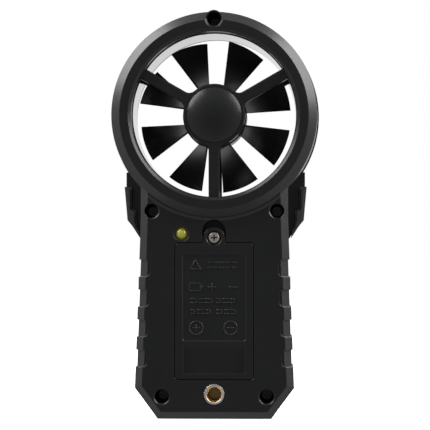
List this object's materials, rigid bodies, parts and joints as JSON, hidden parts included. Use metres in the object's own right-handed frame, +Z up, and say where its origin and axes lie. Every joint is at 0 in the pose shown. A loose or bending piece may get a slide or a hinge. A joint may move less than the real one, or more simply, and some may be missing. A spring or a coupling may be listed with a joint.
{
  "type": "vane anemometer",
  "caption": "Hand-held vane anemometer: ducted head with a bladed impeller behind three spokes, on a handle with display, keys, battery door and tripod thread.",
  "frame": {"origin": "middle of the flat foot at the bottom end of the handle", "axes": "+Z up along the handle to the head, +Y out of the battery side (back), -Y out of the display side, X across"},
  "size_m": [0.0848, 0.038, 0.1649],
  "materials": {
    "case_black": "fine-grained moulded ABS, semi-matte",
    "grip_rubber": "soft-touch moulded grip",
    "duct_gloss": "polished black duct liner",
    "blade_black": "smooth black moulded blades",
    "bearing_steel": "ground steel",
    "magnet_nickel": "nickel-plated magnets",
    "board_green": "green solder mask",
    "chip_black": "moulded package",
    "ribbon_amber": "polyimide flat lead",
    "screw_nickel": "nickel-plated screw",
    "screw_steel": "dark zinc-plated screws",
    "foam_grey": "closed-cell foam",
    "insert_nickel": "nickel-plated brass, knurled flange",
    "sensor_yellow": "tinted epoxy dome",
    "battery_label": "printed metal can",
    "lead_pvc": "PVC sleeve",
    "window_clear": "clear display lens",
    "lcd_grey": "reflective LCD",
    "backlight_white": "white diffuser",
    "connector_rubber": "striped elastomer",
    "switch_steel": "tact switches",
    "key_grey": "matte moulded keys"
  },
  "bodies": {
    "case": {"rear_cover": "case_black", "front_cover": "case_black", "shoulder_grip_left": "grip_rubber", "shoulder_grip_right": "grip_rubber", "duct_sleeve": "duct_gloss", "rear_hub_cap": "case_black", "front_hub_cap": "case_black", "rear_bearing": "bearing_steel", "front_bearing": "bearing_steel", "sensor_board": "board_green", "hall_sensor": "chip_black", "sensor_ribbon": "ribbon_amber", "case_screws": "screw_steel", "tripod_insert": "insert_nickel", "light_sensor": "sensor_yellow", "battery": "battery_label", "battery_snap": "chip_black", "battery_leads": "lead_pvc", "circuit_board": "board_green", "processor_chip": "chip_black", "display_window": "window_clear", "lcd_glass": "lcd_grey", "lcd_backlight": "backlight_white", "lcd_connector": "connector_rubber", "key_switches": "switch_steel"},
    "impeller": {"impeller": "blade_black", "impeller_shaft": "bearing_steel", "impeller_magnets": "magnet_nickel"},
    "battery_door": {"battery_door": "case_black", "battery_foam": "foam_grey"},
    "door_screw": {"door_screw": "screw_nickel"},
    "power_key": {"power_key": "key_grey"},
    "hold_key": {"hold_key": "key_grey"},
    "light_key": {"light_key": "key_grey"},
    "mode_key": {"mode_key": "key_grey"},
    "units_key": {"units_key": "key_grey"},
    "max_min_key": {"max_min_key": "key_grey"}
  },
  "joints": [
    {"name": "impeller_spin", "type": "hinge", "parent": "case", "child": "impeller", "pos_m": [0, 0, 0.1225], "axis": [0, 1, 0], "continuous": true},
    {"name": "battery_door_tilt", "type": "hinge", "parent": "case", "child": "battery_door", "pos_m": [0, 0.015, 0.0159], "axis": [-1, 0, 0], "range_deg": [0, 60]},
    {"name": "door_screw_back_out", "type": "slide", "parent": "battery_door", "child": "door_screw", "axis": [0, 1, 0], "range_m": [0, 0.005]},
    {"name": "power_key_press", "type": "slide", "parent": "case", "child": "power_key", "axis": [0, 1, 0], "range_m": [0, 0.001], "stiffness_N_per_m": 900},
    {"name": "hold_key_press", "type": "slide", "parent": "case", "child": "hold_key", "axis": [0, 1, 0], "range_m": [0, 0.001], "stiffness_N_per_m": 900},
    {"name": "light_key_press", "type": "slide", "parent": "case", "child": "light_key", "axis": [0, 1, 0], "range_m": [0, 0.001], "stiffness_N_per_m": 900},
    {"name": "mode_key_press", "type": "slide", "parent": "case", "child": "mode_key", "axis": [0, 1, 0], "range_m": [0, 0.001], "stiffness_N_per_m": 900},
    {"name": "units_key_press", "type": "slide", "parent": "case", "child": "units_key", "axis": [0, 1, 0], "range_m": [0, 0.001], "stiffness_N_per_m": 900},
    {"name": "max_min_key_press", "type": "slide", "parent": "case", "child": "max_min_key", "axis": [0, 1, 0], "range_m": [0, 0.001], "stiffness_N_per_m": 900}
  ]
}
